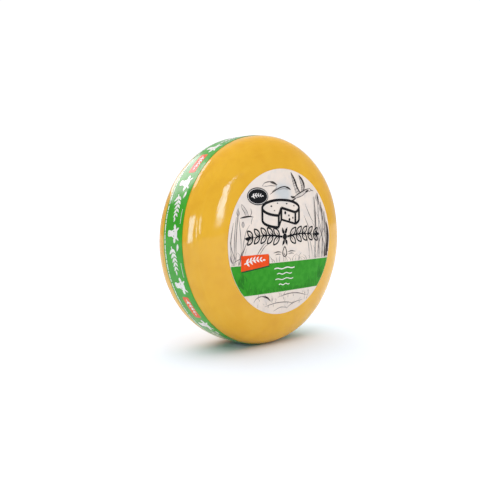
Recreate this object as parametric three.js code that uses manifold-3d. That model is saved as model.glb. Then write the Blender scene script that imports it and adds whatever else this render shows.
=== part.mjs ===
// A whole semi-hard cheese wheel standing on its rim: the cheese in its yellow coating, a round
// printed label on the front face and a printed paper band round the rim.
// Millimetres, +Z up. The wheel's axis lies along Y and the labelled face looks towards -Y.
// The origin is on the ground, at the centre of the part's outer box.
import * as THREE from 'three';
import { mergeVertices } from 'three/addons/utils/BufferGeometryUtils.js';
import Module from 'manifold-3d';

const wasm = await Module();
wasm.setup();

// ---- driving dimensions ----
const wheelDiameter = 250;
const wheelThickness = 99;
// The outline of a half section is (radius / R)^faceFullness + (height / H)^rimFullness = 1. An
// exponent of 2 would be an ellipse; a larger one gives a flatter face or a straighter rim.
const faceFullness = 3.5;
const rimFullness = 4.15;
// The soft cheese is pressed flat where it stands. This is the flat's length along X.
const footLength = 34;

const labelDiameter = 169;
const labelThickness = 0.25;

const bandWidth = 33;
const bandThickness = 0.25;
// The band was wrapped slightly off square: how far its middle lies towards the back (+Y) of the
// wheel's mid plane, and how much further it is at the top and at the +X side.
const bandOffset = 0.4;
const bandSkewTop = 5.0;
const bandSkewSide = 2.8;

// Clearance between the cheese and the paper on it.
const paperGap = 0.15;

// Facets round the wheel, and along the half section from one face's centre to the other's.
const facetsRound = 72;
const facetsAcross = 28;

// ---- sizes that follow ----
const wheelRadius = wheelDiameter / 2;
const halfThickness = wheelThickness / 2;
const footDrop = Math.sqrt(wheelRadius ** 2 - (footLength / 2) ** 2);
const labelStandOff = paperGap + labelThickness;
const bandStandOff = paperGap + bandThickness;
const axisHeight = footDrop + bandStandOff;
const midPlaneY = labelStandOff / 2;
// Cutting blocks are this much larger than the wheel.
const cutterSize = 2 * wheelDiameter + 2 * wheelThickness;

// ---- solids ----
function toSolid(geometry) {
  geometry.deleteAttribute('normal');
  geometry.deleteAttribute('uv');
  const merged = mergeVertices(geometry, 1e-4);
  const corners = merged.index.array;
  const kept = [];
  for (let i = 0; i < corners.length; i += 3) {
    const [a, b, c] = [corners[i], corners[i + 1], corners[i + 2]];
    if (a !== b && b !== c && c !== a) kept.push(a, b, c);
  }
  return new wasm.Manifold(new wasm.Mesh({
    numProp: 3,
    vertProperties: new Float32Array(merged.attributes.position.array),
    triVerts: new Uint32Array(kept),
  }));
}

function toGeometry(solid) {
  const mesh = solid.getMesh();
  const geometry = new THREE.BufferGeometry();
  geometry.setAttribute('position', new THREE.BufferAttribute(mesh.vertProperties, 3));
  geometry.setIndex(new THREE.BufferAttribute(mesh.triVerts, 1));
  geometry.computeVertexNormals();
  return geometry;
}

// Half section of the wheel, moved outwards by an offset, from the back face's centre to the front's.
function sectionOutline(offset) {
  const outline = [];
  for (let i = 0; i <= facetsAcross; i += 1) {
    const turn = (Math.PI * i) / facetsAcross;
    const across = Math.cos(turn);
    const radius = i % facetsAcross === 0 ? 0 : wheelRadius * Math.sin(turn) ** (2 / faceFullness);
    const height = -Math.sign(across) * halfThickness * Math.abs(across) ** (2 / rimFullness);
    const slope = new THREE.Vector2(
      (faceFullness / wheelRadius) * (radius / wheelRadius) ** (faceFullness - 1),
      Math.sign(height) * (rimFullness / halfThickness)
        * (Math.abs(height) / halfThickness) ** (rimFullness - 1),
    ).normalize();
    outline.push(new THREE.Vector2(radius + offset * slope.x, height + offset * slope.y));
  }
  return outline;
}

// Everything above the ground that a wheel grown by this offset would be pressed against.
function aboveFoot(offset) {
  const block = new THREE.BoxGeometry(cutterSize, cutterSize, cutterSize);
  block.translate(0, 0, cutterSize / 2 - footDrop - offset);
  return toSolid(block);
}

function wheelSolid(offset) {
  const turned = toSolid(new THREE.LatheGeometry(sectionOutline(offset), facetsRound));
  return turned.intersect(aboveFoot(offset));
}

// A thin layer that follows the wheel's surface, a paper gap away from it.
function paperLayer(thickness) {
  return wheelSolid(paperGap + thickness).subtract(wheelSolid(paperGap));
}

function faceLabelSolid() {
  const punch = new THREE.CylinderGeometry(labelDiameter / 2, labelDiameter / 2, wheelThickness, facetsRound);
  punch.translate(0, -wheelThickness / 2, 0);
  return paperLayer(labelThickness).intersect(toSolid(punch));
}

function rimBandSolid() {
  const slab = new THREE.BoxGeometry(cutterSize, bandWidth, cutterSize);
  slab.rotateX(-Math.atan(bandSkewTop / wheelRadius));
  slab.rotateZ(Math.atan(bandSkewSide / wheelRadius));
  slab.translate(0, bandOffset, 0);
  return paperLayer(bandThickness).intersect(toSolid(slab));
}

// ---- materials ----
const coatingMaterial = new THREE.MeshStandardMaterial({ color: 0xe4b03c, roughness: 0.28, metalness: 0 });
const labelMaterial = new THREE.MeshStandardMaterial({ color: 0xe4dcd8, roughness: 0.5, metalness: 0 });
const bandMaterial = new THREE.MeshStandardMaterial({ color: 0x3c9632, roughness: 0.4, metalness: 0 });

// ---- the wheel ----
const wheel = new THREE.Group();
wheel.position.set(0, midPlaneY, axisHeight);

function addPiece(name, solid, material) {
  const piece = new THREE.Mesh(toGeometry(solid), material);
  piece.name = name;
  wheel.add(piece);
}

addPiece('cheese_wheel', wheelSolid(0), coatingMaterial);
addPiece('face_label', faceLabelSolid(), labelMaterial);
addPiece('rim_band', rimBandSolid(), bandMaterial);

const part = new THREE.Group();
part.add(wheel);

export default part;
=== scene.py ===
# %% [markdown]
# # A whole cheese wheel standing on its rim
#
# The real thing is one body of semi-hard cheese in a glossy yellow coating, with a round printed
# label on its front face and a printed paper band wrapped round its rim. This lesson dresses the
# solid model of it: the cheese and both papers get fine surfaces that follow one shared rule, the
# printing is laid on them as thin layers of ink, and each finish gets its own material.
#
# Everything is in metres, in the frame of the solid model: +Z is up, the wheel's axis lies along Y
# and the labelled face looks towards -Y. Sizes that are easier to read in millimetres are written
# as `5 * MM`.

# %% Load the solid model
import math
import random

import bmesh
import bpy
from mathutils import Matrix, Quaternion, Vector, geometry


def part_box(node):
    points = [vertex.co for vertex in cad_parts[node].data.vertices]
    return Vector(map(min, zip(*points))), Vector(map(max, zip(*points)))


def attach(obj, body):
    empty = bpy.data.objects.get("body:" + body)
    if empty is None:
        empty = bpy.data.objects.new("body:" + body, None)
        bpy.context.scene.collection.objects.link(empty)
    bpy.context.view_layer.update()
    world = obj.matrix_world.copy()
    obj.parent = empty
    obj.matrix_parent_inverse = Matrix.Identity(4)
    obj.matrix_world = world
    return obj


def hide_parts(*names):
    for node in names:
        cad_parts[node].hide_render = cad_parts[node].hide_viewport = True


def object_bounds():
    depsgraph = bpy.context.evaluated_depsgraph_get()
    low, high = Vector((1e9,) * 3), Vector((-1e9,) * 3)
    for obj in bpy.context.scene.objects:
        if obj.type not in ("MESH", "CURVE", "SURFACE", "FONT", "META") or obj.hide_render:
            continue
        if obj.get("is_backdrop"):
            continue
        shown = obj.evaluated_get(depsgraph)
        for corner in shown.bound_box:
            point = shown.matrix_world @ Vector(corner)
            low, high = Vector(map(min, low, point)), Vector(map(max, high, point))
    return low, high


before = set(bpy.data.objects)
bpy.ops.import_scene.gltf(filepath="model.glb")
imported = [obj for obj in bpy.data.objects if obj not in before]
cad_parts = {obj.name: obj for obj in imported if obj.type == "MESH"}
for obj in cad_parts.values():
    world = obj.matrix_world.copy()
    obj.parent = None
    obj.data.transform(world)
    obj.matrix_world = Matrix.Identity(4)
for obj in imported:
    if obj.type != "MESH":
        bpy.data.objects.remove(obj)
cad_low, cad_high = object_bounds()
MM = 0.001
print("solid model:", [round(v / MM, 1) for v in cad_high - cad_low], "mm")

# %% [markdown]
# ## Read the wheel's sizes from the model
#
# The boxes of the cheese and of its label say how big the wheel is, where its axis runs, how far
# the papers stand off the cheese, and how far up the flat is that the wheel's weight presses into
# its rim. Reading them keeps the fine surfaces and the solids the same size if the model changes.
# What a box can't tell is named here: how full the outline is, how thick the papers are, and how
# the band lies. It sits a little off the middle of the rim and a little skew, as a band does that
# was wrapped by hand.

# %% Sizes
cheese_low, cheese_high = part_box("cheese_wheel")
label_low, label_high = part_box("face_label")

wheel_radius = (cheese_high.x - cheese_low.x) / 2
half_thickness = (cheese_high.y - cheese_low.y) / 2
wheel_middle_y = (cheese_high.y + cheese_low.y) / 2
axis_height = cheese_high.z - wheel_radius
foot_drop = axis_height - cheese_low.z
label_radius = (label_high.x - label_low.x) / 2
paper_top = cheese_low.y - label_low.y

# The half section's outline is (radius / R) ** face_fullness + (height / H) ** rim_fullness = 1.
face_fullness = 3.5
rim_fullness = 4.15

band_width = 33 * MM
band_offset = 0.4 * MM
band_skew_top = 5.0 * MM
band_skew_side = 2.8 * MM
paper_thickness = 0.25 * MM
paper_bottom = paper_top - paper_thickness

print(f"wheel {2 * wheel_radius / MM:.1f} across, {2 * half_thickness / MM:.1f} thick")
print(f"label {2 * label_radius / MM:.1f} across, papers stand {paper_top / MM:.2f} off the cheese")

# %% [markdown]
# ## Sums written as Python
#
# Geometry trees and materials both need a lot of arithmetic. Wiring Math nodes by hand hides the
# formula, so one small class wraps a socket and lets Python's own operators add the nodes. Every
# other kind of node comes from `add`, which sets the node's options first and its sockets after.

# %% A socket that can be used in sums


class Wire:
    """One output of a node, which can be used in sums."""

    def __init__(self, tree, socket):
        self.tree = tree
        self.socket = socket

    def output(self, key):
        """Another output of the same node."""
        return Wire(self.tree, self.socket.node.outputs[key])

    def math(self, operation, *others):
        sockets = dict(enumerate((self, *others)))
        return add(self.tree, "ShaderNodeMath", {"operation": operation}, sockets)

    def __add__(self, other):
        return self.math("ADD", other)

    def __sub__(self, other):
        return self.math("SUBTRACT", other)

    def __mul__(self, other):
        return self.math("MULTIPLY", other)

    def __truediv__(self, other):
        return self.math("DIVIDE", other)

    def __pow__(self, other):
        return self.math("POWER", other)

    def __neg__(self):
        return self.math("MULTIPLY", -1.0)

    def __rsub__(self, other):
        return add(self.tree, "ShaderNodeMath", {"operation": "SUBTRACT"}, {0: other, 1: self})

    def __rtruediv__(self, other):
        return add(self.tree, "ShaderNodeMath", {"operation": "DIVIDE"}, {0: other, 1: self})

    __radd__ = __add__
    __rmul__ = __mul__


def add(tree, kind, settings=None, sockets=None):
    """Adds a node, sets its options, then fills its sockets with values or wires."""
    node = tree.nodes.new(kind)
    for name, value in (settings or {}).items():
        setattr(node, name, value)
    for key, value in (sockets or {}).items():
        if isinstance(value, Wire):
            tree.links.new(value.socket, node.inputs[key])
        else:
            node.inputs[key].default_value = value
    return Wire(tree, next((s for s in node.outputs if s.enabled), None))


def join(x, y, z):
    """Three numbers as one vector."""
    return add(x.tree, "ShaderNodeCombineXYZ", None, {0: x, 1: y, 2: z})


def split(vector):
    """The three numbers of a vector."""
    parts = add(vector.tree, "ShaderNodeSeparateXYZ", None, {0: vector})
    return [parts.output(i) for i in range(3)]


def step_up(value, low, high):
    """0 below low, 1 above high, and smooth between."""
    sockets = {"Value": value, "From Min": low, "From Max": high}
    return add(value.tree, "ShaderNodeMapRange", {"interpolation_type": "SMOOTHSTEP"}, sockets)


print("sums are ready")

# %% [markdown]
# ## The rule of the wheel's surface
#
# Cheese, label, band and ink all lie on one surface, so they share one set of nodes. A place on the
# plain form is given by its turn round the axis, its radius and its height along the axis. The
# nodes find which way the surface faces there from the slope of the outline's formula, move the
# place out by the wanted lift, add the slow unevenness that a hand-turned, coated cheese has, and
# press everything flat where the wheel stands. Since the unevenness depends only on the place, the
# papers rise and fall with the cheese and never sink into it.

# %% Nodes shared by every layer
WHEEL_SIZES = {
    "Radius": wheel_radius,
    "Half thickness": half_thickness,
    "Face fullness": face_fullness,
    "Rim fullness": rim_fullness,
    "Foot drop": foot_drop,
    "Axis height": axis_height,
    "Middle Y": wheel_middle_y,
    "Swell": 0.9 * MM,
    "Swell size": 62 * MM,
    "Ripple": 0.34 * MM,
    "Ripple size": 14 * MM,
}
NOISE_SHIFTS = {"Swell": 3.0, "Ripple": 11.0}
FOOT_EDGE = 0.5 * MM
SHARP_FROM = 40.0
SOCKET_TYPES = {float: "NodeSocketFloat", int: "NodeSocketInt"}


def new_tree(name, sizes):
    """A geometry tree with a geometry and a material input, and one input for each named size."""
    tree = bpy.data.node_groups.new(name, "GeometryNodeTree")
    face = tree.interface
    face.new_socket("Geometry", in_out="OUTPUT", socket_type="NodeSocketGeometry")
    face.new_socket("Geometry", in_out="INPUT", socket_type="NodeSocketGeometry")
    face.new_socket("Material", in_out="INPUT", socket_type="NodeSocketMaterial")
    for label, value in sizes.items():
        socket = face.new_socket(label, in_out="INPUT", socket_type=SOCKET_TYPES[type(value)])
        socket.default_value = value
    inputs = add(tree, "NodeGroupInput")
    return tree, {item.name: inputs.output(item.name) for item in inputs.socket.node.outputs if item.name}


def close_tree(given, shape):
    """Ends a tree as the exporter needs it: real geometry, smooth up to SHARP_FROM degrees, dressed."""
    tree = shape.tree
    real = add(tree, "GeometryNodeRealizeInstances", None, {0: shape})
    smooth = add(tree, "GeometryNodeSetShadeSmooth", None, {0: real})
    fold = add(tree, "GeometryNodeInputMeshEdgeAngle")
    gentle = fold.math("LESS_THAN", math.radians(SHARP_FROM))
    smooth = add(tree, "GeometryNodeSetShadeSmooth", {"domain": "EDGE"}, {0: smooth, 2: gentle})
    sockets = {"Geometry": smooth, "Material": given["Material"]}
    add(tree, "NodeGroupOutput", None, {0: add(tree, "GeometryNodeSetMaterial", None, sockets)})


def height_at(given, radius):
    """Half the wheel's thickness at a radius, by the outline's formula."""
    share = (radius / given["Radius"]) ** given["Face fullness"]
    return given["Half thickness"] * (1 - share).math("MAXIMUM", 0.0) ** (1 / given["Rim fullness"])


def radius_at(given, height):
    """The wheel's radius at a height along its axis, by the outline's formula."""
    share = (height.math("ABSOLUTE") / given["Half thickness"]) ** given["Rim fullness"]
    return given["Radius"] * (1 - share).math("MAXIMUM", 0.0) ** (1 / given["Face fullness"])


def unevenness(given, place):
    """Slow swells and smaller ripples, centred on zero."""
    tree = place.tree
    total = None
    for name, shift in NOISE_SHIFTS.items():
        sockets = {0: place, 1: (shift, shift, shift)}
        moved = add(tree, "ShaderNodeVectorMath", {"operation": "ADD"}, sockets)
        wave = add(tree, "ShaderNodeTexNoise", None, {"Vector": moved, "Detail": 0.0})
        tree.links.new((1 / given[name + " size"]).socket, wave.socket.node.inputs["Scale"])
        part = (wave - 0.5) * given[name]
        total = part if total is None else total + part
    return total


def settle(given, cosine, sine, radius, height, lift):
    """The final place of a point that lies lift above the wheel's plain form."""
    lean_out = (radius / given["Radius"]) ** (given["Face fullness"] - 1)
    lean_out = lean_out * given["Face fullness"] / given["Radius"]
    lean_side = (height.math("ABSOLUTE") / given["Half thickness"]) ** (given["Rim fullness"] - 1)
    lean_side = lean_side * given["Rim fullness"] / given["Half thickness"] * height.math("SIGN")
    steepness = (lean_out * lean_out + lean_side * lean_side).math("SQRT")
    plain = join(radius * cosine, height, radius * sine)
    out = lift + unevenness(given, plain)
    far = radius + out * lean_out / steepness
    floor = -given["Foot drop"] - lift
    pressed = (far * sine).math("SMOOTH_MAX", floor, FOOT_EDGE)
    across = height + out * lean_side / steepness + given["Middle Y"]
    return join(far * cosine, across, pressed + given["Axis height"])


def grown(name, tree, values, start=None):
    """Runs a tree on an object and keeps the result as a plain mesh."""
    piece = bpy.data.objects.new(name, start or bpy.data.meshes.new(name))
    bpy.context.collection.objects.link(piece)
    modifier = piece.modifiers.new("form", "NODES")
    modifier.node_group = tree
    for item in tree.interface.items_tree:
        if item.in_out == "INPUT" and item.name in values:
            modifier[item.identifier] = values[item.name]
    graph = bpy.context.evaluated_depsgraph_get()
    made = bpy.data.meshes.new_from_object(piece.evaluated_get(graph))
    made.name = name
    piece.modifiers.clear()
    piece.data = made
    triangles = sum(len(p.vertices) - 2 for p in made.polygons)
    print(f"{name}: {len(made.vertices)} vertices, {triangles} triangles")
    return piece


# %% [markdown]
# ## Flat printing
#
# A printed picture is drawn flat first, in millimetres, from two kinds of shape. A ribbon is a pen
# line along a smooth curve, even, tapered at both ends, swollen like a leaf or thinning to a tail.
# A patch is a filled outline. Each shape becomes a slab a few hundredths of a millimetre thick,
# with a slightly different height for each neighbour, so that lines that cross never share one
# surface. Real geometry keeps the print's edges sharp at any distance, which a baked picture
# can't do. A strip and a disc are slabs too, and make the two papers.

# %% Curves and pens
CURVE_STEP = 1.5


def smooth_curve(points, closed=False):
    """Points every CURVE_STEP or so along a smooth curve through the given ones."""
    count = len(points)
    knots = [Vector(p) for p in points]
    if not closed:
        knots = [2 * knots[0] - knots[1], *knots, 2 * knots[-1] - knots[-2]]
    spans = count if closed else count - 1
    result = []
    for i in range(spans):
        a, b, c, d = (knots[(i + k) % len(knots)] for k in range(4))
        steps = max(2, math.ceil((c - b).length / CURVE_STEP))
        for j in range(steps):
            t = j / steps
            bend = (2 * a - 5 * b + 4 * c - d) * t * t + (3 * b - a - 3 * c + d) * t**3
            result.append(b + ((c - a) * t + bend) / 2)
    if not closed:
        result.append(knots[-2])
    return result


def circle(x, y, across, up=None, start=0.0, stop=360.0, corners=40):
    """Points round a circle or an ellipse."""
    turns = [math.radians(start + (stop - start) * i / corners) for i in range(corners + 1)]
    return [(x + across * math.cos(t), y + (up or across) * math.sin(t)) for t in turns]


PEN_SHAPES = {
    "even": lambda s: 1.0,
    "pen": lambda s: 0.25 + 0.75 * math.sin(math.pi * s),
    "leaf": lambda s: 0.04 + 0.96 * math.sin(math.pi * s**0.8),
    "tail": lambda s: 1.0 - 0.85 * s,
}
print("pens:", list(PEN_SHAPES))

# %% A print, drawn flat
INK_THICKNESS = 0.05
INK_STEPS = 12
INK_STEP = 0.004
FINE_STEP = 3.0
CUT_TOLERANCE = 1e-5


class Print:
    """Everything that is printed in one ink, drawn flat. A higher layer lies over a lower one."""

    def __init__(self, layer=0, thickness=INK_THICKNESS):
        self.base = layer * INK_STEP * INK_STEPS
        self.thickness = thickness
        self.vertices = []
        self.faces = []
        self.shapes = 0

    def slab(self, flat, faces):
        """A closed slab over flat faces that run anticlockwise."""
        bottom = self.base + INK_STEP * (self.shapes % INK_STEPS)
        top = bottom + self.thickness
        self.shapes += 1
        first = len(self.vertices)
        count = len(flat)
        self.vertices += [(p[0], p[1], top) for p in flat]
        self.vertices += [(p[0], p[1], bottom) for p in flat]
        self.faces += [[first + i for i in f] for f in faces]
        self.faces += [[first + count + i for i in reversed(f)] for f in faces]
        edges = {(f[i - 1], f[i]) for f in faces for i in range(len(f))}
        for a, b in sorted(edges):
            if (b, a) not in edges:
                self.faces.append([first + a, first + count + a, first + count + b, first + b])

    def ribbon(self, points, width, shape="even", closed=False):
        """A line of a pen along a smooth curve."""
        line = smooth_curve(points, closed)
        count = len(line)
        flat = []
        for i, point in enumerate(line):
            ahead = line[(i + 1) % count if closed else min(i + 1, count - 1)]
            behind = line[i - 1 if closed else max(i - 1, 0)]
            along = (ahead - behind).normalized()
            half = width / 2 * PEN_SHAPES[shape](i / max(count - 1, 1))
            side = Vector((-along.y, along.x)) * half
            flat += [point - side, point + side]
        quads = [(2 * i, 2 * i + 2, 2 * i + 3, 2 * i + 1) for i in range(count - 1)]
        if closed:
            quads.append((2 * count - 2, 0, 1, 2 * count - 1))
        self.slab(flat, quads)

    def patch(self, outline, holes=()):
        """A filled outline, cut into small faces so that it can bend."""
        loops = [[Vector((x, y, 0)) for x, y in loop] for loop in (outline, *holes)]
        corners = [v for loop in loops for v in loop]
        sheet = bmesh.new()
        made = [sheet.verts.new(v) for v in corners]
        for face in geometry.tessellate_polygon(loops):
            sheet.faces.new([made[i] for i in face])
        for axis in (0, 1):
            normal = Vector((1 - axis, axis, 0))
            low = min(v[axis] for v in corners)
            high = max(v[axis] for v in corners)
            for i in range(1, math.ceil((high - low) / FINE_STEP)):
                everything = sheet.verts[:] + sheet.edges[:] + sheet.faces[:]
                place = normal * (low + i * FINE_STEP)
                cut = {"plane_co": place, "plane_no": normal, "dist": CUT_TOLERANCE}
                bmesh.ops.bisect_plane(sheet, geom=everything, **cut)
        sheet.verts.index_update()
        sheet.normal_update()
        faces = []
        for face in sheet.faces:
            order = [v.index for v in face.verts]
            faces.append(order if face.normal.z > 0 else order[::-1])
        self.slab([v.co.to_2d() for v in sheet.verts], faces)
        sheet.free()

    def strip(self, left, right, low, high):
        """A long rectangle, cut into small faces."""
        columns = math.ceil((right - left) / FINE_STEP)
        rows = math.ceil((high - low) / FINE_STEP)
        flat = []
        for i in range(columns + 1):
            for j in range(rows + 1):
                flat.append((left + (right - left) * i / columns, low + (high - low) * j / rows))
        quads = []
        for i in range(columns):
            for j in range(rows):
                a = i * (rows + 1) + j
                quads.append((a, a + rows + 1, a + rows + 2, a + 1))
        self.slab(flat, quads)

    def disc(self, radius, corners):
        """A round sheet of rings round a middle point."""
        rings = math.ceil(radius / FINE_STEP)
        flat = [(0.0, 0.0)]
        for ring in range(1, rings + 1):
            flat += circle(0, 0, radius * ring / rings, corners=corners)[:-1]
        faces = []
        for i in range(corners):
            after = (i + 1) % corners
            faces.append((0, 1 + i, 1 + after))
            for ring in range(rings - 1):
                a = 1 + ring * corners
                faces.append((a + i, a + corners + i, a + corners + after, a + after))
        self.slab(flat, faces)

    def mesh(self, name, above):
        """The whole print as a mesh in metres, with its height above the plain form."""
        mesh = bpy.data.meshes.new(name)
        mesh.from_pydata([(x * MM, y * MM, z * MM + above) for x, y, z in self.vertices], [], self.faces)
        return mesh


print(f"shapes are {INK_THICKNESS} mm thick, and layers lie {INK_STEP * INK_STEPS:.3f} mm apart")

# %% [markdown]
# ## Three trees that shape the pieces
#
# The cheese could be lathed by hand, but its shape follows a rule, so a geometry tree bends a plain
# grid into it. The grid's columns run from the front face's centre over the rim to the back's. On
# the faces they are evenly spaced rings and on the rim evenly spaced hoops, which keeps every face
# of the mesh about the same size. Two more trees lay flat printing on the front face and round the
# rim. The one for the rim also repeats what it is given at an even pitch, and lifts the far end of
# the band where it laps over the near end.

# %% The cheese's own form
FORM_SIZES = {**WHEEL_SIZES, "Corner": 0.94, "Columns": 200, "Hoops": 400}
POLE_GAP = 0.005 * MM
wheel_tree, given = new_tree("wheel form", FORM_SIZES)
grid_sockets = {0: 1.0, 1: 1.0, 2: given["Columns"], 3: given["Hoops"]}
grid = add(wheel_tree, "GeometryNodeMeshGrid", None, grid_sockets)
column, row, _ = split(add(wheel_tree, "GeometryNodeInputPosition"))
corner_radius = given["Radius"] * given["Corner"]
corner_height = height_at(given, corner_radius)
girth = corner_radius + corner_height
along = column * 2.0 * girth
distance = along.math("ABSOLUTE")
on_face = distance.math("GREATER_THAN", corner_height)
ring_radius = girth - distance
ring_height = height_at(given, ring_radius) * along.math("SIGN")
radius = on_face * ring_radius + (1 - on_face) * radius_at(given, along)
height = on_face * ring_height + (1 - on_face) * along
turn = row * math.tau
where = settle(given, turn.math("COSINE"), turn.math("SINE"), radius, height, 0.0)
bent = add(wheel_tree, "GeometryNodeSetPosition", None, {"Geometry": grid, "Position": where})
closed_up = add(wheel_tree, "GeometryNodeMergeByDistance", None, {"Geometry": bent, "Distance": POLE_GAP})
close_tree(given, closed_up)

# %% Printing on the face
SMALLEST_RADIUS = 0.001 * MM
face_tree, given = new_tree("lay on the face", WHEEL_SIZES)
right, up, lift = split(add(face_tree, "GeometryNodeInputPosition"))
radius = (right * right + up * up).math("SQRT").math("MAXIMUM", SMALLEST_RADIUS)
where = settle(given, right / radius, up / radius, radius, -height_at(given, radius), lift)
face_sockets = {"Geometry": given["Geometry"], "Position": where}
close_tree(given, add(face_tree, "GeometryNodeSetPosition", None, face_sockets))

# %% Printing round the rim
LAP_GAP = 0.05 * MM
half_round = math.pi * wheel_radius
RIM_SIZES = {
    **WHEEL_SIZES,
    "Band offset": band_offset,
    "Skew top": band_skew_top,
    "Skew side": band_skew_side,
    "Lap start": half_round,
    "Lap ramp": 5 * MM,
    "Lap rise": paper_thickness + LAP_GAP,
    "First": 0.0,
    "Pitch": 0.0,
    "Count": 1,
}
rim_tree, given = new_tree("lay round the rim", RIM_SIZES)
first = join(given["First"], 0.0, 0.0)
pitch = join(given["Pitch"], 0.0, 0.0)
line_sockets = {"Count": given["Count"], "Start Location": first, "Offset": pitch}
places = add(rim_tree, "GeometryNodeMeshLine", None, line_sockets)
copy_sockets = {"Points": places, "Instance": given["Geometry"]}
copies = add(rim_tree, "GeometryNodeInstanceOnPoints", None, copy_sockets)
copies = add(rim_tree, "GeometryNodeRealizeInstances", None, {0: copies})
right, up, lift = split(add(rim_tree, "GeometryNodeInputPosition"))
turn = right / given["Radius"] + math.pi
skew = given["Skew top"] * turn.math("SINE") + given["Skew side"] * turn.math("COSINE")
height = given["Band offset"] + skew - up
lap = step_up(right, given["Lap start"] - given["Lap ramp"], given["Lap start"]) * given["Lap rise"]
radius = radius_at(given, height)
where = settle(given, turn.math("COSINE"), turn.math("SINE"), radius, height, lift + lap)
close_tree(given, add(rim_tree, "GeometryNodeSetPosition", None, {"Geometry": copies, "Position": where}))
print("trees:", [tree.name for tree in bpy.data.node_groups])

# %% [markdown]
# ## Finishes
#
# Each finish is one material. What is the same all over a piece is set straight on the shader's own
# socket. What changes over the surface is worked out from the piece's own coordinates: here that is
# the mottled yellow of the coating, its fine brush marks, the washes on the paper and the wrinkles
# of the band.

# %% Helpers for materials


def colour(red, green, blue):
    """A colour as it reads on a screen, from 0 to 255, as the shader wants it."""
    return (*((v / 255) ** 2.2 for v in (red, green, blue)), 1.0)


def blend(factor, first, second):
    """One colour mixed into another."""
    tree = factor.tree
    mixed = add(tree, "ShaderNodeMix", {"data_type": "RGBA"}, {0: factor, 6: first, 7: second})
    return mixed.output(2)


def new_finish(name, roughness, **constants):
    """A material, its main shader and object coordinates. Constants go straight on the shader."""
    material = bpy.data.materials.new(name)
    material.use_nodes = True
    tree = material.node_tree
    shader = tree.nodes["Principled BSDF"]
    shader.inputs["Roughness"].default_value = roughness
    for key, value in constants.items():
        shader.inputs[key.replace("_", " ")].default_value = value
    coordinates = add(tree, "ShaderNodeTexCoord").output("Object")
    return material, shader, coordinates


def grain(place, size, detail=2.0, stretch=(1.0, 1.0, 1.0), shift=(0.0, 0.0, 0.0)):
    """Noise with features of about one size, from 0 to 1."""
    scale = tuple(s / size for s in stretch)
    sockets = {"Vector": place, "Location": shift, "Scale": scale}
    moved = add(place.tree, "ShaderNodeMapping", None, sockets)
    return add(place.tree, "ShaderNodeTexNoise", None, {"Vector": moved, "Scale": 1.0, "Detail": detail})


def feed(shader, name, value):
    """Links a wire to one of the shader's sockets."""
    value.tree.links.new(value.socket, shader.inputs[name])


def bumps(shader, height, depth):
    """Uses a height from 0 to 1 as relief of that depth in metres."""
    relief = add(height.tree, "ShaderNodeBump", None, {"Height": height, "Distance": depth})
    feed(shader, "Normal", relief)


# %% [markdown]
# ### The yellow coating
#
# A wheel like this is brushed with several coats of a food-safe plastic. It is glossy and a little
# uneven: cloudy where the coats are thicker, with faint marks and finer hairlines that run round
# the wheel the way the brush went. The marks are noise drawn out round the axis: the noise reads
# the distance from the axis and the place along it, and a slow drift takes the place of the turn,
# so that a mark ends after a while.

# %% Coating
coating, shader, place = new_finish("glossy yellow coating", 0.1, IOR=1.5)
x, y, z = split(place)
from_axis = (x * x + (z - axis_height) * (z - axis_height)).math("SQRT")
drift = grain(place, 45 * MM, 1.0) * 30 * MM
brush = grain(join(from_axis, y, drift), 5 * MM, 2.0)
hairs = grain(join(from_axis, y, drift), 1.9 * MM, 1.0)
cloud = grain(place, 55 * MM, 3.0)
patchy = grain(place, 16 * MM, 3.0, shift=(4.0, 1.0, 2.0))
speck = grain(place, 1.6 * MM, 1.0)
yellow = blend(step_up(cloud, 0.28, 0.74), colour(220, 161, 25), colour(229, 173, 42))
yellow = blend(step_up(patchy, 0.45, 0.75) * 0.35, yellow, colour(213, 151, 24))
yellow = blend(step_up(brush, 0.5, 0.8) * 0.2, yellow, colour(236, 188, 62))
feed(shader, "Base Color", yellow)
feed(shader, "Roughness", 0.06 + cloud * 0.05 + step_up(speck, 0.5, 0.8) * 0.03)
bumps(shader, brush * 0.5 + hairs * 0.35 + patchy * 0.25 + speck * 0.05, 0.18 * MM)

# %% [markdown]
# ### The papers and their inks
#
# The label is uncoated paper with a satin surface, printed with a faint blue wash of sky at its top.
# The band is printed green all over and sits under the coating, so it is glossier and shows small
# wrinkles. The inks are flat colours with the fine unevenness that printing on fibre has.

# %% Papers
label_paper, shader, place = new_finish("label paper", 0.5, Specular_IOR_Level=0.3)
x, y, z = split(place)
fibre = grain(place, 0.9 * MM, 3.0)
tone = grain(place, 22 * MM, 4.0)
smudge = grain(place, 9 * MM, 3.0, shift=(2.0, 5.0, 1.0))
SKY_HEIGHT, SKY_HALF_WIDTH, SKY_HALF_DEPTH = 57 * MM, 14 * MM, 15 * MM
sky_across = x / SKY_HALF_WIDTH
sky_up = (z - axis_height - SKY_HEIGHT) / SKY_HALF_DEPTH
sky_far = (sky_across * sky_across + sky_up * sky_up).math("SQRT")
sky = 1 - step_up(sky_far + (tone - 0.5) * 2.4, 0.3, 1.25)
white = blend(step_up(tone, 0.4, 0.7), colour(232, 217, 204), colour(223, 210, 200))
white = blend(step_up(smudge, 0.5, 0.72) * 0.5, white, colour(210, 201, 196))
feed(shader, "Base Color", blend(sky * 0.85, white, colour(190, 195, 197)))
bumps(shader, fibre * 0.6 + tone * 0.4, 0.02 * MM)

band_green, shader, place = new_finish("green band paper", 0.2, Specular_IOR_Level=0.42)
tone = grain(place, 14 * MM, 3.0)
wrinkle = grain(place, 5 * MM, 3.0, (1.0, 0.5, 1.0))
feed(shader, "Base Color", blend(step_up(tone, 0.35, 0.7), colour(44, 152, 14), colour(58, 162, 26)))
feed(shader, "Roughness", 0.1 + wrinkle * 0.12)
bumps(shader, wrinkle, 0.12 * MM)

# %% Inks
PENCIL_ROUGHNESS = 0.55
COATED_ROUGHNESS = 0.2


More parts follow.
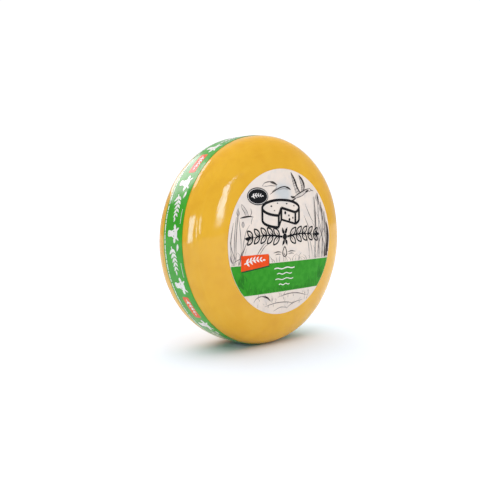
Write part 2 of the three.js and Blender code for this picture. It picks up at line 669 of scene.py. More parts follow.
def ink(name, first, second, roughness=0.45, specular=0.16):
    """A printed colour that varies a little between two tones."""
    material, shader, place = new_finish(name, roughness, Specular_IOR_Level=specular)
    tone = grain(place, 7 * MM, 4.0)
    feed(shader, "Base Color", blend(step_up(tone, 0.35, 0.68), first, second))
    bumps(shader, grain(place, 0.7 * MM, 2.0), 0.01 * MM)
    return material


green_ink = ink("green ink", colour(44, 138, 26), colour(56, 150, 36))
dark_green_ink = ink("dark green ink", colour(34, 112, 22), colour(42, 124, 30))
tag_shade_ink = ink("tag shade", colour(16, 70, 40), colour(22, 80, 44))
black_ink = ink("black ink", colour(10, 6, 12), colour(18, 14, 20), 0.5, 0.15)
hard_pencil_ink = ink("hard pencil", colour(38, 30, 30), colour(70, 61, 59), PENCIL_ROUGHNESS)
pencil_ink = ink("pencil", colour(96, 88, 86), colour(146, 136, 132), PENCIL_ROUGHNESS)
wash_ink = ink("pencil wash", colour(192, 181, 174), colour(210, 199, 190), PENCIL_ROUGHNESS)
orange_ink = ink("orange ink", colour(226, 70, 8), colour(233, 80, 14))
white_ink = ink("white ink", colour(236, 230, 226), colour(226, 220, 216))
white_tones = colour(234, 230, 224), colour(226, 222, 216)
band_white = ink("white ink under coating", *white_tones, COATED_ROUGHNESS, 0.5)
orange_tones = colour(226, 86, 6), colour(232, 95, 12)
band_orange = ink("orange ink under coating", *orange_tones, COATED_ROUGHNESS, 0.36)
print("finishes:", [m.name for m in bpy.data.materials if m.use_nodes])

# %% [markdown]
# ## The cheese, the label and the band
#
# These three stand in for the three solids, which stay behind for collision. The cheese comes from
# its tree alone. Each paper is drawn flat, as thick as the real paper, and laid on by the tree for
# the face or the rim. `place_piece` makes the calls that every finished piece needs: it rides with
# the model's one body and hides the solid it replaces, if any.

# %% The three pieces


def place_piece(piece, slot, *solids):
    """Lets a finished piece ride with the model's one body and hides the solids it replaces."""
    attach(piece, "root")
    if solids:
        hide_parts(*solids)
    return piece


def laid(name, drawing, tree, finish, slot, above=paper_top, solids=(), **values):
    """Lays a flat drawing on the cheese and places it as a finished piece."""
    flat = drawing.mesh(name + " flat", above)
    piece = grown(name, tree, {"Material": finish, **values}, flat)
    bpy.data.meshes.remove(flat)
    return place_piece(piece, slot, *solids)


cheese = grown("cheese", wheel_tree, {"Material": coating})
place_piece(cheese, "coating", "cheese_wheel")

LABEL_CORNERS = 240
label_sheet = Print(thickness=paper_thickness / MM)
label_sheet.disc(label_radius / MM, LABEL_CORNERS)
laid("label", label_sheet, face_tree, label_paper, "label_paper", paper_bottom, ["face_label"])

LAP_LENGTH = 13.0
rim_end = half_round / MM
band_half = band_width / MM / 2
band_sheet = Print(thickness=paper_thickness / MM)
band_sheet.strip(-rim_end, rim_end + LAP_LENGTH, -band_half, band_half)
laid("band", band_sheet, rim_tree, band_green, "band_paper", paper_bottom, ["rim_band"])

# %% [markdown]
# ## The pictures on the label
#
# The label shows a wetland in pencil: reeds at both sides, birds above, and a green bar with its
# own dark grass across the lower third. Over the drawing stands a bold black device, a cut cheese
# above two sprays of leaves. An oval seal and an orange tag carry plain sprigs. Nothing on it is
# lettering. Each drawing is a short list of pen lines, and what repeats is a loop. All places and
# sizes of the drawings are in millimetres from the label's centre.
#
# Leaves come up in most of the pictures, so they are drawn by functions: one filled leaf, one in
# outline, and a whole sprig of them.

# %% Leaves and sprigs


def moved(points, x, y, turn=0.0):
    """Points turned by some degrees and shifted."""
    t = math.radians(turn)
    c, s = math.cos(t), math.sin(t)
    return [(x + c * a - s * b, y + s * a + c * b) for a, b in points]


def leaf(drawing, x, y, turn, length, width):
    """One filled leaf that springs from a stem."""
    line = [(0, 0), (length * 0.5, length * 0.07), (length, 0)]
    drawing.ribbon(moved(line, x, y, turn), width, "leaf")


def open_leaf(drawing, x, y, turn, length, width, pen):
    """One leaf drawn in outline, with half a midrib."""
    half = [(0.0, 0.0), (0.28, 0.42), (0.62, 0.46), (0.92, 0.16)]
    above = [(length * a, width * b) for a, b in half]
    below = [(length * a, -width * b) for a, b in reversed(half[1:])]
    drawing.ribbon(moved([*above, (length, 0.0), *below], x, y, turn), pen, closed=True)
    drawing.ribbon(moved([(0, 0), (length * 0.3, 0), (length * 0.6, 0)], x, y, turn), pen * 0.8, "tail")


def bowed(length, bend, count=8):
    """Points along a stem that bows to one side."""
    shares = [i / count for i in range(count + 1)]
    return [(length * s, length * bend * math.sin(math.pi * s)) for s in shares]


def sprig(drawing, x, y, length, turn, pairs, leaf_length, leaf_width, stem, bend=0.08):
    """A stem with leaves in pairs and one at its tip."""
    drawing.ribbon(moved(bowed(length, bend), x, y, turn), stem, "tail")
    for i in range(pairs):
        share = (i + 0.6) / pairs * 0.92
        at = (length * share, length * bend * math.sin(math.pi * share))
        root = moved([at], x, y, turn)[0]
        size = 1.0 - 0.3 * share
        for side in (-1, 1):
            leaf(drawing, *root, turn + side * (50 - 14 * share), leaf_length * size, leaf_width * size)
    tip = moved([(length, 0)], x, y, turn)[0]
    leaf(drawing, *tip, turn - 8, leaf_length * 0.75, leaf_width * 0.8)


# %% [markdown]
# ### The black device
#
# The drawn cheese is a flat drum seen a little from above, so its top edge is most of an ellipse.
# The cut takes the missing part out as two straight lines from the rim to the heart, and each line
# is repeated at the foot. Under it two sprays point away from a round knot. It all belongs to one
# bold print, drawn with one width of pen and a finer one for the drop.

# %% The cut cheese
BOLD = 3.0
CHEESE_X, CHEESE_TOP = -6.0, 39.5
CHEESE_ACROSS, CHEESE_SLANT, CHEESE_DEEP = 30.0, 9.0, 13.5
CUT_FROM, CUT_TO = 262.0, 322.0
black = Print(layer=3)


def rim_line(start, stop, drop=0.0):
    """An arc of the drawn cheese's top edge, or of its foot if dropped."""
    return circle(CHEESE_X, CHEESE_TOP - drop, CHEESE_ACROSS, CHEESE_SLANT, start, stop, 36)


top_edge = rim_line(CUT_TO - 360, CUT_FROM)
foot_left = rim_line(180, CUT_FROM, CHEESE_DEEP)
foot_right = rim_line(CUT_TO, 360, CHEESE_DEEP)
heart = (CHEESE_X, CHEESE_TOP)
heart_foot = (CHEESE_X, CHEESE_TOP - CHEESE_DEEP)
for curve in (top_edge, foot_left, foot_right):
    black.ribbon(curve, BOLD)
for top, foot in ((top_edge[-1], foot_left[-1]), (top_edge[0], foot_right[0])):
    black.ribbon([heart, top], BOLD)
    black.ribbon([top, foot], BOLD)
    black.ribbon([heart_foot, foot], BOLD * 0.8)
black.ribbon([heart, heart_foot], BOLD)
for side in (-1, 1):
    edge_x = CHEESE_X + side * CHEESE_ACROSS
    black.ribbon([(edge_x, CHEESE_TOP), (edge_x, CHEESE_TOP - CHEESE_DEEP)], BOLD)
for x, y, size in ((0.5, 33.6, 1.6), (6.6, 30.4, 1.1), (7.5, 25.8, 1.5), (13.4, 27.6, 1.0)):
    black.patch(circle(x, y, size, size * 1.2, corners=16)[:-1])
for x, y, size in ((-22, 41.4, 1.5), (-12, 44.8, 1.0), (3, 44.2, 1.4), (15, 41.6, 1.1), (-17, 36.4, 1.0)):
    black.patch(circle(x, y, size, size * 0.6, corners=16)[:-1])

# %% The two sprays
SPRAY_Y = 6.0
SPRAY_LONG = 52.0
LEAF_PAIRS = 5
for side in (-1, 1):
    spray_turn = 0 if side > 0 else 180
    stem = moved(bowed(SPRAY_LONG, 0.05 * side, 4 * LEAF_PAIRS), side * 4.0, SPRAY_Y, spray_turn)
    black.ribbon(stem, BOLD * 0.8, "tail")
    for i in range(LEAF_PAIRS):
        root_x, root_y = stem[4 * i + 2]
        size = 13.0 - 0.6 * i
        for lean in (-1, 1):
            open_leaf(black, root_x, root_y, spray_turn + lean * 46, size, size * 0.5, BOLD * 0.55)
    leaf(black, *stem[-2], spray_turn, 9.0, 4.4)
black.patch(circle(0, SPRAY_Y, 3.6, corners=28)[:-1])
for side in (-1, 1):
    leaf(black, side * 0.8, SPRAY_Y + 3.0, 90 - side * 24, 8.5, 3.8)
    leaf(black, side * 0.8, SPRAY_Y - 3.0, side * 24 - 90, 8.0, 3.4)

# %% The drop and the seal
FINE = 1.1
drop = [(0, -5.6), (3.1, -11.2), (2.9, -15.0), (0, -17.2), (-2.9, -15.0), (-3.1, -11.2)]
black.ribbon(drop, FINE, closed=True)
black.ribbon([(-1.2, -12.6), (-1.0, -14.4), (0.2, -15.2)], FINE * 0.7)
for side in (-1, 1):
    black.ribbon([(side * 5.2, -11.9), (side * 11.5, -11.1), (side * 18.5, -12.1)], FINE, "pen")
    black.ribbon([(side * 6.4, -14.3), (side * 11.0, -13.7), (side * 15.5, -14.5)], FINE * 0.8, "pen")

SEAL_X, SEAL_Y, SEAL_ACROSS, SEAL_UP = -42.0, 52.5, 15.5, 9.8
black.patch(circle(SEAL_X, SEAL_Y, SEAL_ACROSS, SEAL_UP, corners=64)[:-1])
laid("label_black_print", black, face_tree, black_ink, "black_ink")

# %% [markdown]
# ### The green bar
#
# The bar runs across the label, so its ends are arcs that follow the label's edge. They stop just
# short of it, because the ink would otherwise hang over the side of the paper.

# %% The green bar
BAR_TOP, BAR_FOOT = -23.5, -57.8
BARE_EDGE = 0.35
INSIDE = label_radius / MM - BARE_EDGE
top_turn = math.degrees(math.asin(BAR_TOP / INSIDE))
foot_turn = math.degrees(math.asin(BAR_FOOT / INSIDE))
bar = Print(layer=1)
right_edge = circle(0, 0, INSIDE, start=foot_turn, stop=top_turn, corners=20)
left_edge = circle(0, 0, INSIDE, start=180 - top_turn, stop=180 - foot_turn, corners=20)
bar.patch(right_edge + left_edge)
laid("label_green_bar", bar, face_tree, green_ink, "green_ink")

# %% [markdown]
# ### The pencil drawing
#
# A drawing like this has three strengths: a pale wash for shaded sides, a mid grey line, and a dark
# line where the pencil pressed hardest. So there are three prints, and each plant or bird adds to
# the ones it needs. A line stops where the label ends.

# %% Three strengths of pencil
wash = Print(layer=0)
pencil = Print(layer=1)
hard = Print(layer=2)
chance = random.Random(7)


def line(drawing, points, width, shape="pen"):
    """A pencil line that stops at the label's edge."""
    kept = []
    for point in smooth_curve(points):
        if point.length > INSIDE - width / 2:
            break
        kept.append(point)
    if len(kept) > 2:
        drawing.ribbon(kept[:: max(1, len(kept) // 12)] + [kept[-1]], width, shape)


def blade(drawing, x, y, rise, reach, width, shape="tail"):
    """A blade of grass that rises and leans over."""
    droop = 0.22 * min(1.0, abs(reach) / 10)
    steps = [i / 4 for i in range(5)]
    line(drawing, [(x + reach * t**2.2, y + rise * (t - droop * t**3)) for t in steps], width, shape)


def stalk(points, width):
    """A reed's stem: a pale core with a line along each side, the right one heavier."""
    line(wash, points, width, "even")
    line(pencil, [(x - width / 2, y) for x, y in points], width * 0.22)
    line(pencil, [(x + width / 2, y) for x, y in points], width * 0.42)


# %% Reeds at the right
for points, width in (
    ([(54.3, -22), (54.5, 4), (53.6, 28), (52.4, 52)], 2.0),
    ([(61.0, -22), (61.4, 6), (60.6, 34), (58.8, 57)], 1.7),
    ([(68.0, -22), (69.4, 2), (68.4, 24), (65.0, 46)], 2.4),
    ([(76.0, -20), (77.0, -2), (76.0, 14), (72.8, 34)], 2.4),
):
    stalk(points, width)
for points, width in (
    ([(55.4, 2), (55.2, 18), (54.4, 34), (53.4, 51)], 1.9),
    ([(61.6, 42), (60.9, 50), (59.4, 58)], 2.4),
    ([(69.6, 22), (68.2, 34), (65.8, 46)], 1.8),
    ([(73.8, 2), (74.6, 16), (72.0, 30), (69.6, 38)], 1.3),
    ([(78.4, 22), (81.2, 6), (81.2, -8), (78.8, -21)], 3.4),
    ([(62.4, 16), (66.8, 6), (71.0, -4)], 1.2),
):
    line(hard, points, width, "leaf")
for points, width in (
    ([(35, 44), (41, 34), (45.5, 27), (50, 22)], 1.0),
    ([(33, 30), (38.5, 21), (43.5, 13), (47, 9)], 0.8),
    ([(44, -22), (42.0, -6), (37.0, 6), (33.0, 12)], 0.9),
    ([(50, -22), (47.6, -10), (44.0, 0), (38.6, 8)], 0.7),
    ([(64, -22), (60.0, 0), (54.0, 14), (48.0, 22)], 1.1),
    ([(71, -18), (67.0, 10), (62.0, 24), (56.0, 34)], 0.8),
    ([(76, -6), (73.0, 14), (69.0, 30), (63.0, 44)], 0.9),
    ([(58, -22), (62.0, -4), (68.0, 8), (75.0, 15)], 1.2),
):
    line(pencil, points, width)
for x, y, rise, reach, width in (
    (78.0, -21, 30, 1.5, 4.6),
    (80.5, -16, 24, -2.0, 3.2),
    (74.0, -22, 20, -1.5, 2.8),
    (79.5, 2, 22, -3.5, 2.0),
):
    blade(hard, x, y, rise, reach, width)

# %% Seed heads, and reeds at the left
for x, y, size in ((64.6, 34, 9.0), (57.6, 47, 8.0), (-70.6, 30, 8.5), (-64.4, 18, 7.0)):
    line(wash, [(x, y), (x + 0.4, y + size / 2), (x, y + size)], 3.6, "leaf")
    for side in (-1.62, 1.62):
        line(pencil, [(x, y), (x + side, y + size / 2), (x, y + size)], 0.6)
for points, width in (
    ([(-73.6, -18), (-74.2, 0), (-72.6, 20), (-69.8, 40)], 1.2),
    ([(-75.4, -18), (-76.4, 0), (-75.2, 16), (-73.0, 30)], 0.9),
    ([(-67.2, -12), (-67.4, 4), (-69.0, 20), (-70.4, 30)], 0.8),
    ([(-65.8, -8), (-67.6, -14), (-68.4, -20)], 1.6),
    ([(-80.4, -10), (-80.6, -15), (-78.6, -20)], 1.7),
    ([(-80, -16), (-80.8, -4), (-80.4, 8), (-77.0, 24)], 1.0),
    ([(-73, -22), (-77.0, -12), (-80.0, -4), (-82.0, 4)], 0.8),
    ([(-70, -22), (-64.0, -8), (-60.0, 0), (-57.0, 3)], 1.1),
    ([(-66, -22), (-64.0, 0), (-60.0, 14), (-55.0, 21)], 0.8),
    ([(-44, -13), (-39.0, -7), (-34.0, -2), (-30.5, 0)], 1.1),
    ([(-41, -14), (-36.0, -8), (-31.0, -3.4), (-27.5, -2)], 0.8),
    ([(-78, -20), (-72.0, -17), (-66.0, -15), (-62.0, -14)], 0.9),
):
    line(pencil, points, width)

# %% Tufts of grass above the bar
TUFTS = ((52, 82, 12, 30), (-81, -62, 7, 20), (-22, 46, 16, 11), (-60, -30, 8, 7))
TUFT_FOOT = -22.6
for left, right, count, tallest in TUFTS:
    for i in range(count):
        x = left + (right - left) * (i + chance.random()) / count
        rise = tallest * chance.uniform(0.35, 1)
        reach = chance.uniform(-6, 6)
        blade(pencil, x, TUFT_FOOT, rise, reach, chance.uniform(0.45, 0.9))

# %% The large bird's wings
FEATHERS = 8
wings = (
    (
        [(27.5, 56.5), (22.0, 63.0), (18.6, 71.0), (12.6, 80.5)],
        [(21.0, 54.6), (17.6, 62.0), (14.8, 70.0), (12.6, 80.5)],
    ),
    (
        [(33.0, 58.6), (35.0, 65.0), (32.0, 72.0), (26.4, 77.6)],
        [(29.0, 58.0), (30.2, 64.0), (28.6, 70.6), (26.4, 77.6)],
    ),
)


def part_way(points, share):
    """The place part of the way along a smooth curve."""
    curve = smooth_curve(points)
    return Vector(curve[round(share * (len(curve) - 1))])


for lead, trail in wings:
    wash.patch([(p.x, p.y) for p in smooth_curve(lead)[:-1] + smooth_curve(trail[::-1])[:-1]][::-1])
    line(hard, lead, 2.6)
    line(pencil, trail, 0.9)
    for i in range(1, FEATHERS):
        near = part_way(lead, i / FEATHERS)
        far = part_way(trail, i / FEATHERS)
        line(pencil, [near, near.lerp(far, 0.5) + Vector((0, 0.5)), far + (far - near) * 0.25], 0.7)

# %% The large bird's body
belly = [(14.5, 50.4), (22.0, 51.2), (30.0, 53.4), (38.0, 57.2), (43.5, 59.2)]
back_line = [(14.5, 50.4), (20.0, 54.0), (28.0, 57.4), (36.0, 60.4), (43.5, 61.9)]
wash.patch([(p.x, p.y) for p in smooth_curve(belly) + smooth_curve(back_line[::-1])[:-1]])
line(pencil, belly, 1.1)
line(hard, back_line, 1.5)
line(pencil, circle(45.0, 60.4, 2.0, 1.7, 130, -150, 12), 0.8, "even")
line(hard, [(46.8, 60.5), (49.4, 59.9), (52.2, 59.2)], 1.3, "tail")
line(hard, [(36.5, 57.6), (39.5, 58.7), (42.5, 59.9)], 2.6, "leaf")
line(hard, [(18.0, 52.4), (14.0, 51.4), (10.4, 52.6)], 2.6, "leaf")
line(hard, [(20.0, 51.2), (15.0, 48.6), (11.6, 47.8)], 1.8, "leaf")

# %% The small birds
for points, width, drawing in (
    ([(-35.0, 64.0), (-31.0, 67.4), (-24.0, 69.0), (-17.0, 68.6), (-11.5, 65.8)], 1.2, pencil),
    ([(-35.0, 64.0), (-29.0, 63.8), (-22.0, 64.6), (-15.0, 64.4), (-11.5, 65.8)], 0.7, pencil),
    ([(-23.0, 68.8), (-17.6, 68.0), (-12.2, 65.9)], 2.8, hard),
    ([(-12.6, 65.2), (-12.4, 62.6), (-15.5, 60.2), (-20.0, 57.6)], 0.9, pencil),
    ([(-23.5, 54.7), (-15.0, 59.2), (-7.0, 62.6), (1.0, 63.8), (7.0, 62.6), (10.5, 60.4)], 1.4, hard),
    ([(-12.0, 59.6), (-5.0, 61.0), (1.0, 61.4), (6.0, 60.6)], 0.7, pencil),
    ([(1.0, 63.6), (6.4, 62.4), (10.4, 60.2)], 2.2, hard),
    ([(-68.5, 28.6), (-62.0, 29.8), (-55.0, 30.4), (-49.5, 29.6)], 1.9, hard),
    ([(-60.0, 30.2), (-62.0, 35.0), (-65.0, 39.6), (-65.4, 44.0)], 0.9, pencil),
    ([(-56.0, 30.6), (-58.4, 36.0), (-62.4, 41.0), (-65.4, 44.0)], 0.8, pencil),
    ([(-57.6, 31.0), (-60.4, 35.6), (-63.6, 40.4)], 2.2, wash),
    ([(-54.0, 30.4), (-52.0, 34.6), (-53.0, 39.0)], 0.9, pencil),
    ([(-50.5, 29.0), (-52.0, 25.6), (-52.6, 22.0)], 0.8, pencil),
):
    line(drawing, points, width, "leaf" if width > 1.5 else "pen")

# %% The ground below the bar
GROUND_BLADES = 34
for points, width, drawing in (
    ([(-47, -66.5), (-43, -62.0), (-35, -60.4), (-27, -62.8), (-20.5, -68)], 1.1, pencil),
    ([(-35, -60.6), (-28, -62.2), (-22, -66.6)], 1.9, hard),
    ([(-30, -73), (-14, -70.6), (4, -71.2), (20, -74.5)], 1.0, pencil),
    ([(-10, -64), (8, -61.6), (24, -62.4), (44, -67.5)], 1.1, pencil),
    ([(6, -79), (18, -73.5), (34, -71.5)], 0.9, pencil),
    ([(-16, -80), (-4, -76.6), (8, -78.4)], 0.8, pencil),
):
    line(drawing, points, width)
for i in range(GROUND_BLADES):
    x = chance.uniform(-42, 46)
    y = chance.uniform(-78, -62)
    blade(pencil, x, y, chance.uniform(2, 6), chance.uniform(-4, 4), chance.uniform(0.45, 0.8))

# %% The dark grass on the bar
GRASS_ON_BAR = 56
GRASS_FOOT = BAR_FOOT + 0.9
dark_grass = Print(layer=2)
for i in range(GRASS_ON_BAR):
    x = -58 + 116 * (i + chance.random()) / GRASS_ON_BAR
    edge = max(0.0, (abs(x) - 34) / 24)
    tall = chance.uniform(3, 8) + edge * chance.uniform(4, 16)
    blade(dark_grass, x, GRASS_FOOT, tall, chance.uniform(-7, 7), chance.uniform(0.5, 1.2))
for side, count in ((-1, 12), (1, 9)):
    for i in range(count):
        x = side * chance.uniform(58, 70)
        y = chance.uniform(-47, -40)
        blade(dark_grass, x, y, chance.uniform(6, 15), side * chance.uniform(-3, 5), 1.3)
    line(dark_grass, [(side * 62, -50), (side * 67, -44), (side * 70, -39)], 3.4, "leaf")

# %% The drawing laid on the label
laid("label_wash", wash, face_tree, wash_ink, "pencil_ink")
laid("label_pencil", pencil, face_tree, pencil_ink, "pencil_ink")
laid("label_hard_pencil", hard, face_tree, hard_pencil_ink, "pencil_ink")
laid("label_dark_grass", dark_grass, face_tree, dark_green_ink, "green_ink")

# %% [markdown]
# ### The tag and the white printing
#
# The orange tag is printed over the drawing and the bar, a little askew. A dark green print of the
# same outline lies under it, moved down and to the right, so that a thin edge of it shows as a drop
# shadow. White is printed last, because it stands on the tag, the seal and the bar.

# %% The orange tag
TAG_X, TAG_Y = -46.5, -20.5
SHADE_RIGHT, SHADE_DOWN = 0.9, 1.5
FLAG = [(-20.2, -9.4), (20.9, -5.0), (20.4, 7.9), (-20.7, 8.0)]
tag = Print(layer=3)
tag.patch(moved(FLAG, TAG_X, TAG_Y))
tag_shade = Print(layer=2)
tag_shade.patch(moved(FLAG, TAG_X + SHADE_RIGHT, TAG_Y - SHADE_DOWN))
laid("label_tag_shade", tag_shade, face_tree, tag_shade_ink, "green_ink")
laid("label_orange_tag", tag, face_tree, orange_ink, "orange_ink")

# %% The white printing
white = Print(layer=4)
sprig(white, TAG_X - 16.0, TAG_Y - 1.4, 27.0, 6, 5, 6.4, 2.5, 1.5)
sprig(white, SEAL_X - 9.5, SEAL_Y - 0.6, 15.0, 4, 4, 4.2, 1.7, 1.0)
SEAL_LINE_IN = 1.4
seal_line = circle(SEAL_X, SEAL_Y, SEAL_ACROSS - SEAL_LINE_IN, SEAL_UP - SEAL_LINE_IN, corners=64)
white.ribbon(seal_line[:-1], 0.5, closed=True)

WAVE_TOP, WAVE_PITCH, WAVE_HEIGHT, WAVE_STEPS = -30.5, 6.3, 0.7, 16
for i, long in enumerate((34, 25, 30, 18)):
    wave = []
    for k in range(WAVE_STEPS + 1):
        share = k / WAVE_STEPS
        wave.append((long * (share - 0.5), WAVE_HEIGHT * math.sin(2 * math.tau * share)))
    white.ribbon(moved(wave, 0, WAVE_TOP - WAVE_PITCH * i), 1.3 if i == 0 else 1.0)
laid("label_white_print", white, face_tree, white_ink, "white_ink")
reach = max(math.hypot(x, y) for p in (wash, pencil, hard, white, black, bar) for x, y, _ in p.vertices)
print(f"the print reaches {reach:.1f} of the label's {label_radius / MM:.1f} mm")

# %% [markdown]
# ## The printing round the rim
#
# The band repeats a few small pictures: a cow's head at an even pitch, and between the heads two
# leafy sprigs and one orange tag in turn. Each picture is drawn once, about its own middle, with
# its width along the band, and the tree for the rim makes the copies. A dashed line runs along the
# back edge. Real bands are printed on a roll and cut to length, so the pattern doesn't close where
# the ends lap.

# %% The cow's head
half_head = [
    (2.4, -8.0), (3.6, -6.6), (3.5, -4.4), (3.0, -2.0), (3.9, 0.6), (4.9, 2.6), (7.0, 1.7), (9.6, 2.4),
    (10.2, 3.9), (8.4, 5.6), (5.6, 5.9), (4.9, 6.9), (6.6, 8.6), (6.9, 11.2), (5.0, 10.1), (3.2, 8.0),
    (1.2, 8.4),
]
head_outline = half_head + [(-x, y) for x, y in reversed(half_head)]
head_holes = []
for side in (-1, 1):
    head_holes.append(circle(side * 2.5, 2.4, 0.62, 0.8, corners=10)[:-1])
    head_holes.append(circle(side * 1.5, -5.9, 0.42, 0.55, corners=8)[:-1])
cow_head = Print(layer=1)
cow_head.patch(head_outline, head_holes)

# %% Plates with rounded corners


def rounded(width, height, corner):
    """The outline of a plate with rounded corners, about its middle."""
    outline = []
    for i, (x, y) in enumerate(((1, 1), (-1, 1), (-1, -1), (1, -1))):
        middle = (x * (width / 2 - corner), y * (height / 2 - corner))
        outline += circle(*middle, corner, start=90 * i, stop=90 * i + 90, corners=6)
    return outline


# %% The sprig, the tag and the dashes
band_sprig = Print(layer=1)
sprig(band_sprig, -15.0, -2.2, 26.0, 7, 5, 8.0, 3.1, 1.6)
leaf(band_sprig, -18.5, 9.6, -14, 8.5, 3.4)
band_sprig.ribbon([(2, 12.2), (10, 12.0), (18, 12.2)], 0.6)

band_tag = Print(layer=1)
band_tag.patch(moved(rounded(30.0, 11.0, 1.8), 0, 1.8, 3.0))
band_tag_sprig = Print(layer=2)
sprig(band_tag_sprig, -11.5, 0.9, 19.0, 5, 4, 5.2, 2.2, 1.2)

DASHES = ((0, 5.2), (5.9, 2.4), (9, 6.5), (16.2, 3.6), (20.6, 7.4), (28.8, 2.4), (32.0, 5.6), (38.4, 3.6))
DASH_RUN = 43.6
DASH_HIGH, DASH_CORNER = 1.5, 0.4
DASH_LINE = -13.7
dashes = Print(layer=1)
for start, long in DASHES:
    dash = rounded(long, DASH_HIGH, DASH_CORNER)
    dashes.patch(moved(dash, start + (long - DASH_RUN) / 2, DASH_LINE))

# %% The pictures in their places


def round_the_rim(name, drawing, finish, slot, first, pitch, count):
    """Repeats a drawing round the rim."""
    counts = {"First": first * MM, "Pitch": pitch * MM, "Count": count}
    return laid(name, drawing, rim_tree, finish, slot, **counts)


PITCH = 58.2
HEADS = 13
FIRST_HEAD = -12.3 - PITCH * (HEADS // 2)
FIRST_GAP = FIRST_HEAD + PITCH / 2
round_the_rim("band_cow_heads", cow_head, band_white, "white_ink", FIRST_HEAD, PITCH, HEADS)
for name, gap, count in (("band_sprigs_first", 0, 5), ("band_sprigs_second", 2, 4)):
    round_the_rim(name, band_sprig, band_white, "white_ink", FIRST_GAP + gap * PITCH, 3 * PITCH, count)
FIRST_TAG = FIRST_GAP + PITCH
TAGS = 4
round_the_rim("band_tags", band_tag, band_orange, "orange_ink", FIRST_TAG, 3 * PITCH, TAGS)
round_the_rim("band_tag_sprigs", band_tag_sprig, band_white, "white_ink", FIRST_TAG, 3 * PITCH, TAGS)
FIRST_DASHES = DASH_RUN / 2 + 1 - rim_end
DASH_RUNS = 18
round_the_rim("band_dashes", dashes, band_white, "white_ink", FIRST_DASHES, DASH_RUN, DASH_RUNS)

# %% [markdown]
# ## Floor and surround
#
# The wheel is shown the way a packshot is: on a white floor that runs out of sight into a white
# surround, so that only a short shadow under the wheel tells where it stands. The backdrop behind
# the wheel is a little brighter than the room in front, and its reflection pales the rim where the
# surface turns away. The camera sees the surround as pure white, whatever light it gives. The
# floor lies a fiftieth of a millimetre below the foot, because two faces in one plane show as
# black specks.

# %% Floor and surround
scene = bpy.context.scene
scene.view_settings.view_transform = "Standard"
wheel_middle = Vector((0.0, wheel_middle_y, axis_height))


def toward(turn, rise):
    """The direction at a turn round the wheel and a rise above the horizon, in degrees."""
    t = math.radians(turn)
    r = math.radians(rise)
    return Vector((math.sin(t) * math.cos(r), -math.cos(t) * math.cos(r), math.sin(r)))


CAMERA_TURN = -42.14
SEEN_GLOW = 1.06
BACKDROP_GLOW = 0.66
ROOM_GLOW = 0.5
ROOM_EDGE, BACKDROP_EDGE = 0.3, 0.8
world = bpy.data.worlds.new("white surround")
world.use_nodes = True
tree = world.node_tree
looking = add(tree, "ShaderNodeTexCoord").output("Generated")
backdrop = tuple(toward(CAMERA_TURN + 180, 0))
compared = add(tree, "ShaderNodeVectorMath", {"operation": "DOT_PRODUCT"}, {0: looking, 1: backdrop})
facing = compared.output("Value")
seen = add(tree, "ShaderNodeLightPath").output("Is Camera Ray")
glow = ROOM_GLOW + step_up(facing, ROOM_EDGE, BACKDROP_EDGE) * (BACKDROP_GLOW - ROOM_GLOW)
feed(tree.nodes["Background"], "Strength", glow + seen * (SEEN_GLOW - glow))
tree.nodes["Background"].inputs["Color"].default_value = (1.0, 1.0, 1.0, 1.0)
scene.world = world

FLOOR_REACH = 20.0
FLOOR_GAP = 0.02 * MM
floor_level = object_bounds()[0].z - FLOOR_GAP
quarters = ((-1, -1), (1, -1), (1, 1), (-1, 1))
floor_corners = [(x * FLOOR_REACH, y * FLOOR_REACH, floor_level) for x, y in quarters]
floor_mesh = bpy.data.meshes.new("floor")
floor_mesh.from_pydata(floor_corners, [], [(0, 1, 2, 3)])
floor = bpy.data.objects.new("floor", floor_mesh)
scene.collection.objects.link(floor)
floor_white, shader, _ = new_finish("white floor", 0.9, Specular_IOR_Level=0.1)
shader.inputs["Base Color"].default_value = (0.83, 0.875, 0.95, 1.0)
floor_mesh.materials.append(floor_white)
floor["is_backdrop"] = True
print(f"floor at {floor_level / MM:.2f} mm")

# %% [markdown]
# ## Lights
#
# Two very soft lights shape the wheel, and neither shows as a reflection: one from above and a
# little behind, whose shadow falls towards the viewer, and a weaker one from the front that evens
# out the face. The windows are there only for their reflections, which show how glossy and how
# smooth the coating is: three panes at the left for the patch and the streaks on the shoulder, a
# tilted one at the right and a small one above it for the long streak beside the label, and two
# behind for the sheen on the band and along its edge. The panes in front are tinted blue, because
# the coating adds its own yellow to what they show.

# %% Lights
LIGHT_DISTANCE = 1.6
COOL_PANE = (0.44, 0.77, 1.0)
WHITE_PANE = (1.0, 0.8, 1.0)
SOFT_SPREAD = 90.0


def add_light(name, kind, turn, rise, roll=0.0):
    """A light that faces the wheel, rolled by some degrees."""
    light = bpy.data.lights.new(name, kind)
    lamp = bpy.data.objects.new(name, light)
    back = toward(turn, rise)
    lamp.location = wheel_middle + back * LIGHT_DISTANCE
    lamp.rotation_mode = "QUATERNION"
    lamp.rotation_quaternion = back.to_track_quat("Z", "Y") @ Quaternion((0, 0, 1), math.radians(roll))
    scene.collection.objects.link(lamp)
    return lamp, light


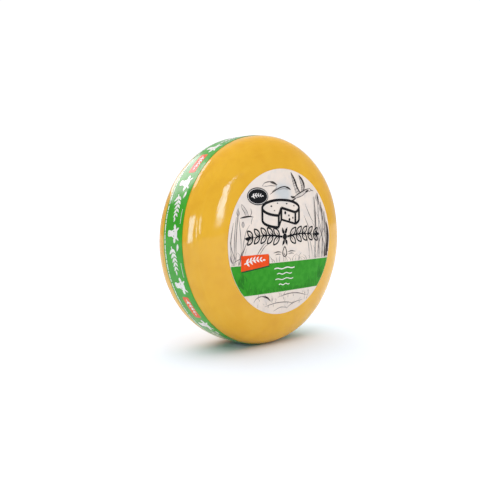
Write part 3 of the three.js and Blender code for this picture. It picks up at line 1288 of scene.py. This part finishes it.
def window(name, turn, rise, wide, tall, glow, roll, tint=COOL_PANE):
    """A pane that only shows in reflections. Glow is how bright it looks."""
    lamp, light = add_light(name, "AREA", turn, rise, roll)
    lamp.visible_diffuse = False
    light.shape = "RECTANGLE"
    light.size = wide
    light.size_y = tall
    light.color = tint
    light.energy = glow * math.pi * wide * tall


def soft_light(name, turn, rise, strength):
    """A broad light that shades the wheel but doesn't show in reflections."""
    lamp, light = add_light(name, "SUN", turn, rise)
    lamp.visible_glossy = False
    light.energy = strength
    light.angle = math.radians(SOFT_SPREAD)


window("left window", -84, 10.5, 0.80, 0.56, 11.0, 5)
window("left window, second pane", -55.5, 10, 0.13, 0.45, 9.0, 16)
window("left window, third pane", -41.5, 11.7, 0.12, 0.34, 10.0, 18)
window("right window", 7.5, 15.0, 0.26, 0.49, 11.5, -9)
window("right window, small pane", 16, 24, 0.16, 0.05, 9.0, 8)
window("back left", -172, 31.5, 1.05, 0.62, 4.2, 12, WHITE_PANE)
window("back top", -156, 46.5, 0.86, 0.19, 5.6, -12, WHITE_PANE)
soft_light("light from above", 170, 76, 2.5)
soft_light("light from the front", 5, 16, 0.9)
print("lights:", [light.name for light in bpy.data.lights])

# %% [markdown]
# ## Camera
#
# The camera looks at the wheel from the left of its face and from a little above its middle. It
# stands some 73 centimetres away, so the near side of the wheel looks a little larger than the far
# side. It is moved about two centimetres aside without being turned, which sets the wheel further
# to the right in the picture.

# %% Camera
CAMERA_RISE = 4.03
CAMERA_DISTANCE = 727.2 * MM
ASIDE = 18.46 * MM
BELOW = 0.54 * MM
LENS = 44.58

camera = bpy.data.objects.new("camera", bpy.data.cameras.new("camera"))
scene.collection.objects.link(camera)
camera.data.sensor_width = 36.0
camera.data.lens = LENS
back = toward(CAMERA_TURN, CAMERA_RISE)
camera.rotation_mode = "QUATERNION"
camera.rotation_quaternion = back.to_track_quat("Z", "Y")
sideways = toward(CAMERA_TURN + 90, 0)
upward = back.cross(sideways)
camera.location = wheel_middle + back * CAMERA_DISTANCE - sideways * ASIDE - upward * BELOW
scene.camera = camera
print("camera at", [round(v, 3) for v in camera.location])

# %% Sizes and finish
final_low, final_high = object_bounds()
grown_by = (*(cad_low - final_low), *(final_high - cad_high))
print("grown past the solids by", [round(v / MM, 2) for v in grown_by], "mm")
